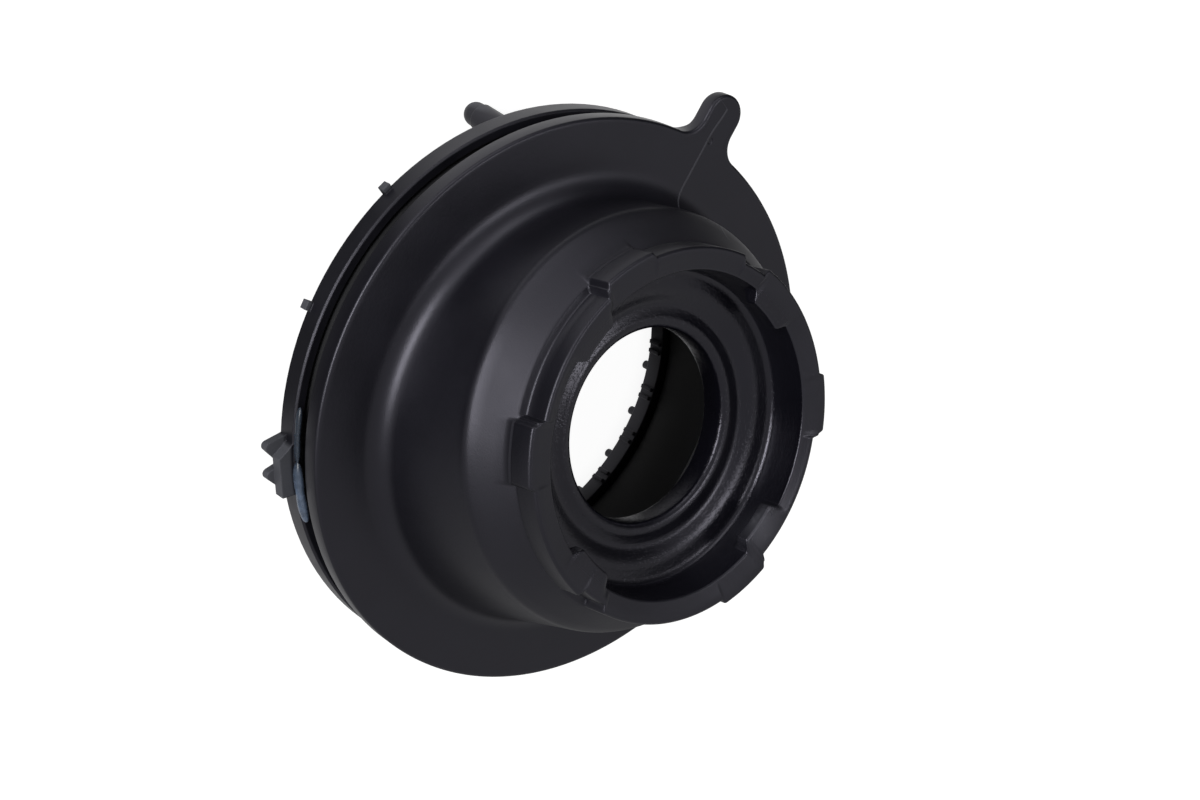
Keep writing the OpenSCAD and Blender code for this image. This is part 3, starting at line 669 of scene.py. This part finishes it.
def rubber_material(tints):
    """Satin black rubber: cloudy gloss, fine grain, greyed edges and scuffs, and the mould's parting line."""
    material, tree, shader, where = new_material("seat_rubber")
    grain = placed(tree, bpy.data.node_groups["moulded_grain"], where)
    scuff = attribute(tree, "scuff")
    edge = attribute(tree, "edge")
    x, y, z = axes_of(tree, where)
    # Parting line: a thin ridge along the lug, bent at its tip, over the flange's face and up the fillet
    bend = calc(tree, "ADD", spread(tree, x, LINE_BEND, LINE_ROOT, LINE_OFF_BEND, LINE_OFF_ROOT),
                spread(tree, x, LINE_TIP, LINE_BEND, LINE_OFF_TIP, 0.0))
    off = calc(tree, "ABSOLUTE", calc(tree, "ADD", y, bend))
    line = product(tree, spread(tree, off, *LINE_HALF, 1.0, 0.0), spread(tree, x, *LINE_END),
                   spread(tree, z, *LINE_LOW))
    streak = spread(tree, noise(tree, where, 260.0, 4.0, 0.6), 0.45, 0.75)
    worn = largest(tree, product(tree, edge, 0.16), product(tree, line, 0.55),
                   product(tree, scuff, spread(tree, streak, 0.0, 1.0, 0.55, 1.0)))
    base = clouded(tree, grain.outputs["Cloud"], tints.rubber, 0.86, 1.12)
    tree.links.new(mixed(tree, worn, base, tuple(tints.rubber_rubbed)), shader.inputs["Base Color"])
    gloss = spread(tree, grain.outputs["Cloud"], 0.25, 0.75, 0.34, 0.4)
    bowl = attribute(tree, "bowl")
    rough = calc(tree, "MULTIPLY_ADD", scuff, 0.12, calc(tree, "MULTIPLY_ADD", bowl, -0.15, gloss))
    rough = calc(tree, "MULTIPLY_ADD", attribute(tree, "cone"), 0.16, rough)
    tree.links.new(rough, shader.inputs["Roughness"])
    shader.inputs["Specular IOR Level"].default_value = 0.55
    shader.inputs["Specular Tint"].default_value = SPECULAR_TINT
    # Height: grain, the line's ridge, coarser speckle in the bowl and a small dimple at the lug's root
    from_dimple = tree.nodes.new("ShaderNodeVectorMath")
    from_dimple.operation = "DISTANCE"
    from_dimple.inputs[1].default_value = DIMPLE_PLACE
    tree.links.new(where, from_dimple.inputs[0])
    dimple = spread(tree, from_dimple.outputs["Value"], *DIMPLE_R, -6.0, 0.0)
    speckle = product(tree, bowl, spread(tree, noise(tree, where, 2100.0, 2.0), 0.5, 0.75))
    height = calc(tree, "MULTIPLY_ADD", line, 3.0, calc(tree, "ADD", grain.outputs["Height"], dimple))
    bumped(tree, shader, calc(tree, "MULTIPLY_ADD", speckle, 0.8, height), 0.06 * MM, 0.55)
    return material


def cap_material(tints):
    """Black glass-filled plastic: fine grain, cloudy gloss and greyed edges.

    It is greyer and rougher past the rim's radius, on the blocks and teeth.
    """
    material, tree, shader, where = new_material("cap_plastic")
    grain = placed(tree, bpy.data.node_groups["moulded_grain"], where, Size=1.2)
    edge = placed(tree, bpy.data.node_groups["edge_rub"], where, Width=0.4 * MM)
    cloud = grain.outputs["Cloud"]
    x, y, _ = axes_of(tree, where)
    outer_grey = spread(tree, from_axis(tree, x, y), *OUTER_GREY_R)
    rubbed = tuple(tints.cap_rubbed)
    base = clouded(tree, cloud, tints.cap, 0.85, 1.15)
    base = mixed(tree, product(tree, outer_grey, spread(tree, cloud, 0.3, 0.7, 0.8, 1.0)), base, rubbed)
    base = mixed(tree, product(tree, edge.outputs["Mask"], 0.3), base, rubbed)
    tree.links.new(base, shader.inputs["Base Color"])
    gloss = spread(tree, cloud, 0.25, 0.75, 0.34, 0.46)
    tree.links.new(calc(tree, "MULTIPLY_ADD", outer_grey, 0.2, gloss), shader.inputs["Roughness"])
    shader.inputs["Specular Tint"].default_value = SPECULAR_TINT
    bumped(tree, shader, grain.outputs["Height"], 0.05 * MM, 0.5, edge.outputs["Normal"])
    return material


def plain_moulding(name, tint, rough):
    """Moulded part inside the mount: its colour and gloss with cloudy variation, and grain."""
    material, tree, shader, where = new_material(name)
    grain = placed(tree, bpy.data.node_groups["moulded_grain"], where)
    cloud = grain.outputs["Cloud"]
    tree.links.new(clouded(tree, cloud, tint, 0.85, 1.12), shader.inputs["Base Color"])
    tree.links.new(spread(tree, cloud, 0.25, 0.75, rough - 0.05, rough + 0.06), shader.inputs["Roughness"])
    bumped(tree, shader, grain.outputs["Height"], 0.05 * MM, 0.45)
    return material


def steel_material(name, tint, rough):
    """Steel with a faint cloud in its colour and gloss and a fine satin."""
    material, tree, shader, where = new_material(name)
    grain = placed(tree, bpy.data.node_groups["moulded_grain"], where, Size=1.6)
    shader.inputs["Metallic"].default_value = 1.0
    cloud = grain.outputs["Cloud"]
    base = mixed(tree, cloud, tuple(0.9 * k for k in tint), tuple(1.05 * k for k in tint))
    tree.links.new(base, shader.inputs["Base Color"])
    tree.links.new(spread(tree, cloud, 0.2, 0.8, rough, rough + 0.08), shader.inputs["Roughness"])
    bumped(tree, shader, grain.outputs["Height"], 0.01 * MM, 0.3)
    return material


def grease_material(tints):
    """Blue-grey grease: a thin wet coat over a cloudy body, darker where it is smeared thin."""
    material, tree, shader, where = new_material("grease")
    cloud = noise(tree, where, 500.0, 3.0)
    base = clouded(tree, cloud, tints.grease, 0.8, 1.3)
    smeared = mixed(tree, attribute(tree, "body"), tuple(0.3 * k for k in tints.grease), base)
    tree.links.new(smeared, shader.inputs["Base Color"])
    tree.links.new(spread(tree, cloud, 0.3, 0.7, 0.22, 0.34), shader.inputs["Roughness"])
    shader.inputs["Subsurface Weight"].default_value = 0.2
    shader.inputs["Subsurface Radius"].default_value = (1.2 * MM, 1.6 * MM, 2.0 * MM)
    shader.inputs["Coat Weight"].default_value = 0.2
    shader.inputs["Coat Roughness"].default_value = 0.25
    bumped(tree, shader, cloud, 0.2 * MM, 0.4)
    return material


def give(piece, material):
    """One material on every slot of a piece."""
    piece.data.materials.clear()
    piece.data.materials.append(material)


class STRUT_OT_finishes(Operator):
    """Builds the shared node groups and gives each carried-over part of the bearing its finish."""
    bl_idname = "strut_mount.finishes"
    bl_label = "Finishes"

    def execute(self, context):
        tints = context.scene.strut_finishes
        grain_group()
        edge_group()
        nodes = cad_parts
        steel = steel_material("race_steel", tints.steel, 0.28)
        seal = plain_moulding("seal_rubber", tints.seal, 0.6)
        for name, material in (
                ("bearing_cap", cap_material(tints)),
                ("carrier_ring", plain_moulding("carrier_plastic", tints.carrier, 0.5)),
                ("cap_race", steel), ("seat_race", steel),
                ("balls", steel_material("ball_steel", tints.ball, 0.08)),
                ("ball_cage", plain_moulding("cage_plastic", tints.cage, 0.5)),
                ("inner_seal", seal), ("outer_seal", seal)):
            for slot in nodes[name].material_slots:
                slot.material = material
        return {"FINISHED"}


# Scuffed patches: place and width in millimetres, and strength
SCUFFS = ((3.6, 31.3, 64.0, 4.2, 1.0), (-25.5, 24.0, 66.0, 3.0, 0.12))
# Curvatures, in radians per metre, between which an edge shows as rubbed
EDGE_CURVE = (500.0, 1500.0)


class STRUT_OT_spring_seat(Operator):
    """Makes the rubber spring seat: flange with lug, fillet, leaning neck, end ring and bowl."""
    bl_idname = "strut_mount.spring_seat"
    bl_label = "Spring seat"

    def execute(self, context):
        s = context.scene.strut_seat
        rows, theta = seat_rows(s)
        piece = closed_grid("spring_seat_rubber", rows)
        set_attribute(piece, "scuff", self.scuff(rows))
        set_attribute(piece, "edge", self.edge(rows))
        bowl, cone = self.mouldings(s, rows, theta)
        set_attribute(piece, "bowl", bowl)
        set_attribute(piece, "cone", cone)
        give(piece, rubber_material(context.scene.strut_finishes))
        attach(piece, "seat")
        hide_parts("spring_seat")
        return {"FINISHED"}

    def scuff(self, rows):
        """Scuffed patches: a bell round one inner lug and a faint one on the ring's inner edge."""
        total = np.zeros(rows.shape[:2])
        for x, y, z, wide, much in SCUFFS:
            away = ((rows - np.array([x, y, z]) * MM) ** 2).sum(-1)
            total += much * np.exp(-away / (wide * MM) ** 2)
        return np.clip(total, 0.0, 1.0)

    def mouldings(self, s, rows, theta):
        """Masks of the glossier bowl inside the end ring and of the duller cone outside it.

        Both are smooth steps of the radius and height along the neck's axis.
        """
        k = SeatRings(s, theta)
        local = (rows - k.foot) @ k.lean
        radius, height = np.hypot(local[..., 0], local[..., 1]), local[..., 2]
        inside = 1.0 - smooth(radius, s.ring_in_r - 0.2 * MM, s.ring_in_r + 0.4 * MM)
        bowl = inside * smooth(height, s.cavity_h + 3.0 * MM, s.cavity_h + 5.0 * MM)
        cone = (1.0 - inside) * smooth(height, s.shoulder_h + 1.5 * MM, s.shoulder_h + 3.5 * MM)
        return bowl, cone * (1.0 - smooth(height, s.cone_top_h - 0.5 * MM, s.cone_top_h + 0.5 * MM))

    def edge(self, rows):
        """Convex edges: how sharply the section turns at each row, from the angle between its two chords."""
        ahead = np.roll(rows, -1, 0) - rows
        behind = rows - np.roll(rows, 1, 0)
        size = np.linalg.norm(ahead, axis=-1) * np.linalg.norm(behind, axis=-1) + 1e-15
        bend = np.arccos(np.clip((ahead * behind).sum(-1) / size, -1.0, 1.0))
        reach = np.linalg.norm(ahead, axis=-1) + np.linalg.norm(behind, axis=-1)
        around = np.roll(rows, -1, 1) - np.roll(rows, 1, 1)
        normal = np.cross(around, np.roll(rows, -1, 0) - np.roll(rows, 1, 0))
        convex = ((ahead - behind) * normal).sum(-1) < 0.0
        return smooth(bend / (reach + 1e-9) * convex, *EDGE_CURVE)


# Bead of grease: share by which its width waves, waves per radian, depth as a share of width, least half width
BEAD_WAVE, BEAD_WAVES, BEAD_DEPTH, BEAD_LEAST = 0.06, 61.0, 0.7, 0.03 * MM
# Angles from the waist, in degrees, between which the thin smear turns into the fat body
BEAD_BODY_DEG = (-2.0, 6.0)
BEAD_ROWS, BEAD_COLUMNS = 81, 28


class STRUT_OT_grease(Operator):
    """Makes the bead of grease that is pressed out of the gap beside the index block."""
    bl_idname = "strut_mount.grease"
    bl_label = "Grease bead"

    def execute(self, context):
        g = context.scene.strut_grease
        azimuth = np.linspace(g.start, g.end, BEAD_ROWS)
        around = np.linspace(0.0, 2.0 * math.pi, BEAD_COLUMNS, endpoint=False)
        thin, fat = (self.swell(azimuth, *ends) for ends in ((g.start, g.neck), (g.neck, g.end)))
        half = np.maximum(g.thin * thin, g.fat * fat) * (1.0 + BEAD_WAVE * np.sin(azimuth * BEAD_WAVES))
        half = np.maximum(half, BEAD_LEAST)
        radius = g.radius + half[:, None] * BEAD_DEPTH * np.cos(around)[None, :]
        height = g.height + half[:, None] * np.sin(around)[None, :]
        rows = np.stack([radius * np.cos(azimuth)[:, None], radius * np.sin(azimuth)[:, None], height], -1)
        piece = capped_tube("grease_bead", rows, rows[0].mean(0), rows[-1].mean(0))
        along = np.concatenate([np.repeat(azimuth, len(around)), azimuth[[0, -1]]])
        set_attribute(piece, "body", smooth(along - g.neck, *np.radians(BEAD_BODY_DEG)))
        give(piece, grease_material(context.scene.strut_finishes))
        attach(piece, "cap")
        return {"FINISHED"}

    def swell(self, azimuth, start, end):
        """Outline of a drawn-out drop: 1 along its middle, falling to 0 at its ends by the sixth power."""
        share = (2.0 * azimuth - start - end) / (end - start)
        return np.sqrt(np.clip(1.0 - share ** 6, 0.0, 1.0))


CAMERA_PLACE = (-6.24 * MM, -357.23 * MM, 415.42 * MM)
CAMERA_RIGHT = (-0.47030, 0.64520, 0.60200)
CAMERA_UP = (-0.88250, -0.34090, -0.32400)
CAMERA_BACK = (-0.00380, -0.68370, 0.72980)
CAMERA_AXES = np.array((CAMERA_RIGHT, CAMERA_UP, CAMERA_BACK))
# Soft lights: place, width and height in metres, and direction of the height; places and directions are
# along the camera's right, up and back
LAMPS = {
    "key": ((-0.37, 0.03, 0.82), 0.34, 0.62, (0.35, 1.0, 0.0)),
    "fill": ((0.74, -0.03, 0.52), 0.28, 0.28, (0.0, 1.0, 0.0)),
    "top": ((-0.05, 0.8, 0.55), 0.9, 0.6, (0.0, 0.0, 1.0)),
}
# Darker part of the sky: its direction and the cosines between which it sets in
SKY_DARK = (0.8, 0.57, -0.2)
SKY_DARK_COS = (0.72, 0.96)
# Painted reflections: stretches of the floor that glow for glossy rays only, by x, y and distance from the
# axis, and how bright
LOW_X_START, LOW_X_END, LOW_X_LIFT = (-130.0 * MM, -80.0 * MM), (-55.0 * MM, -15.0 * MM), 0.8
HIGH_X_START, HIGH_X_LIFT = (55.0 * MM, 100.0 * MM), 0.3
OPENING_R, OPENING_Y, OPENING_LIFT = (43.0 * MM, 47.0 * MM), (33.0 * MM, 40.0 * MM), 0.55
RIM_START_R, RIM_END_R, RIM_LIFT = (64.0 * MM, 68.0 * MM), (80.0 * MM, 90.0 * MM), 0.6
# Direction from the axis in which the rim's stretch is brightest, its cosines and the share left elsewhere
RIM_SIDE, RIM_SIDE_COS, RIM_REST = (0.906, -0.423), (0.78, 0.92), 0.12
# Floor's lift for the camera under the bore and elsewhere, and the distances from the axis between them; the
# larger lift under the bore is painted light over the part's shade
BORE_LIFT, OPEN_LIFT, BORE_LIFT_R = 0.96, 0.86, (40.0 * MM, 50.0 * MM)
FLOOR_HALF = 3.0
# Floor's colour, and its darker colour for glossy rays, which is painted shade in the part's reflections
FLOOR_SHADE, FLOOR_PAINTED_REFLECTION_SHADE = (0.4, 0.4, 0.4), (0.06, 0.06, 0.06)


def set_columns(matrix, columns):
    """Matrix with its columns set to the given axes."""
    for column, axis in enumerate(columns):
        for row in range(3):
            matrix[row][column] = axis[row]
    return matrix


class STRUT_OT_stage(Operator):
    """Makes the pale floor, the soft lights, the white surround and the camera."""
    bl_idname = "strut_mount.stage"
    bl_label = "Stage"

    def execute(self, context):
        scene = context.scene
        stage = scene.strut_stage
        scene.view_settings.view_transform = "Standard"
        self.floor(stage)
        self.surround(scene, stage)
        for name, (place, wide, tall, upright) in LAMPS.items():
            watts = getattr(stage, name)
            self.lamp(scene, name, place @ CAMERA_AXES, wide, tall, upright @ CAMERA_AXES, watts)
        data = bpy.data.cameras.new("camera")
        data.lens = stage.lens
        data.sensor_width = 36.0
        data.clip_start = 0.01
        camera = bpy.data.objects.new("camera", data)
        camera.matrix_world = set_columns(Matrix.Identity(4), (*CAMERA_AXES, CAMERA_PLACE))
        scene.collection.objects.link(camera)
        scene.camera = camera
        return {"FINISHED"}

    def lamp(self, scene, name, place, wide, tall, upright, watts):
        """Soft light that faces the part: a rectangle whose tall side follows a given direction."""
        data = bpy.data.lights.new(name, "AREA")
        data.shape = "RECTANGLE"
        data.size, data.size_y = wide, tall
        data.energy = watts
        lamp = bpy.data.objects.new(name, data)
        lamp.location = place
        back = place / np.linalg.norm(place)
        side = np.cross(upright, back)
        side = side / np.linalg.norm(side)
        lamp.rotation_euler = set_columns(Matrix.Identity(3), (side, np.cross(back, side), back)).to_euler()
        scene.collection.objects.link(lamp)

    def floor(self, stage):
        """Pale floor: diffuse, so it takes the shadow, with a lift for camera rays that brings it to white.

        Painted reflections: glossy rays see a darker shade of the floor, with a glow of its own that
        paints bright reflections: strong towards -X, weak towards +X, close round the rim and inside the
        cap's opening. Painted light: the floor under the bore is lifted a little more for the camera,
        because the part shades it.
        """
        grid = np.linspace(-FLOOR_HALF, FLOOR_HALF, 5)
        x, y = np.meshgrid(grid, grid)
        points = np.stack([x, y, np.full_like(x, stage.floor_z)], -1).reshape(-1, 3)
        index = np.arange(x.size).reshape(x.shape)
        quads = np.stack([index[:-1, :-1], index[:-1, 1:], index[1:, 1:], index[1:, :-1]], -1).reshape(-1, 4)
        floor = mesh_of("floor", points, quads)
        material, tree, shader, where = new_material("floor")
        shader.inputs["Roughness"].default_value = 0.9
        shader.inputs["Specular IOR Level"].default_value = 0.0
        glow = tree.nodes.new("ShaderNodeEmission")
        path = tree.nodes.new("ShaderNodeLightPath")
        x, y, _ = axes_of(tree, where)
        radius = from_axis(tree, x, y)
        low_x = product(tree, spread(tree, x, *LOW_X_END, LOW_X_LIFT, 0.0), spread(tree, x, *LOW_X_START))
        sides = calc(tree, "ADD", low_x, spread(tree, x, *HIGH_X_START, 0.0, HIGH_X_LIFT))
        inside = product(tree, spread(tree, radius, *OPENING_R, OPENING_LIFT, 0.0), spread(tree, y, *OPENING_Y))
        along = calc(tree, "ADD", product(tree, x, RIM_SIDE[0]), product(tree, y, RIM_SIDE[1]))
        ring = product(tree, spread(tree, radius, *RIM_START_R, 0.0, RIM_LIFT),
                       spread(tree, radius, *RIM_END_R, 1.0, 0.0),
                       spread(tree, calc(tree, "DIVIDE", along, radius), *RIM_SIDE_COS, RIM_REST, 1.0))
        # Painted reflection: glow on the floor that only glossy rays see
        painted_reflection = product(tree, path.outputs["Is Glossy Ray"], largest(tree, sides, inside, ring))
        # Painted light: the camera's lift is larger under the bore, where the part shades the floor
        seen = spread(tree, radius, *BORE_LIFT_R, BORE_LIFT, OPEN_LIFT)
        lift = calc(tree, "MULTIPLY_ADD", path.outputs["Is Camera Ray"], seen, painted_reflection)
        # Painted shade: glossy rays see a darker floor colour than the lamps light
        shade = mixed(tree, path.outputs["Is Glossy Ray"], FLOOR_SHADE, FLOOR_PAINTED_REFLECTION_SHADE)
        tree.links.new(shade, shader.inputs["Base Color"])
        tree.links.new(lift, glow.inputs["Strength"])
        both = tree.nodes.new("ShaderNodeAddShader")
        tree.links.new(shader.outputs[0], both.inputs[0])
        tree.links.new(glow.outputs[0], both.inputs[1])
        tree.links.new(both.outputs[0], tree.nodes["Material Output"].inputs["Surface"])
        give(floor, material)

    def surround(self, scene, stage):
        """World: white to the camera, and for all other rays a grey sky with one darker part."""
        world = bpy.data.worlds.new("surround")
        world.use_nodes = True
        tree = world.node_tree
        shown = tree.nodes["Background"]
        seen = tree.nodes.new("ShaderNodeLightPath").outputs["Is Camera Ray"]
        towards = tree.nodes.new("ShaderNodeVectorMath")
        towards.operation = "DOT_PRODUCT"
        tree.links.new(tree.nodes.new("ShaderNodeTexCoord").outputs["Generated"], towards.inputs[0])
        towards.inputs[1].default_value = SKY_DARK @ CAMERA_AXES
        sky = spread(tree, towards.outputs["Value"], *SKY_DARK_COS, stage.sky, 0.1 * stage.sky)
        level = calc(tree, "ADD", product(tree, seen, calc(tree, "SUBTRACT", 1.0, sky)), sky)
        tree.links.new(level, shown.inputs["Strength"])
        shown.inputs["Color"].default_value = (1.0, 1.0, 1.0, 1.0)
        scene.world = world


class STRUT_PT_panel(Panel):
    """Sidebar panel with the sizes and the buttons that make each piece."""
    bl_label = "Strut mount"
    bl_idname = "STRUT_PT_panel"
    bl_space_type = "VIEW_3D"
    bl_region_type = "UI"
    bl_category = "Strut mount"

    def draw(self, context):
        scene = context.scene
        for group, operator in (
                (scene.strut_finishes, STRUT_OT_finishes), (scene.strut_seat, STRUT_OT_spring_seat),
                (scene.strut_grease, STRUT_OT_grease), (scene.strut_stage, STRUT_OT_stage)):
            box = self.layout.box()
            for name in group.__annotations__:
                box.prop(group, name)
            box.operator(operator.bl_idname)


GROUPS = {"strut_seat": SpringSeatSizes, "strut_grease": GreaseSizes, "strut_finishes": Finishes,
          "strut_stage": StageSizes}
CLASSES = (*GROUPS.values(), STRUT_OT_finishes, STRUT_OT_spring_seat, STRUT_OT_grease, STRUT_OT_stage,
           STRUT_PT_panel)


def register():
    for kind in CLASSES:
        bpy.utils.register_class(kind)
    for name, kind in GROUPS.items():
        setattr(bpy.types.Scene, name, PointerProperty(type=kind))


def unregister():
    for name in GROUPS:
        delattr(bpy.types.Scene, name)
    for kind in reversed(CLASSES):
        bpy.utils.unregister_class(kind)


def main():
    """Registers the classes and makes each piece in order."""
    register()
    bpy.ops.strut_mount.finishes()
    bpy.ops.strut_mount.spring_seat()
    bpy.ops.strut_mount.grease()
    bpy.ops.strut_mount.stage()


if __name__ == "__main__":
    main()
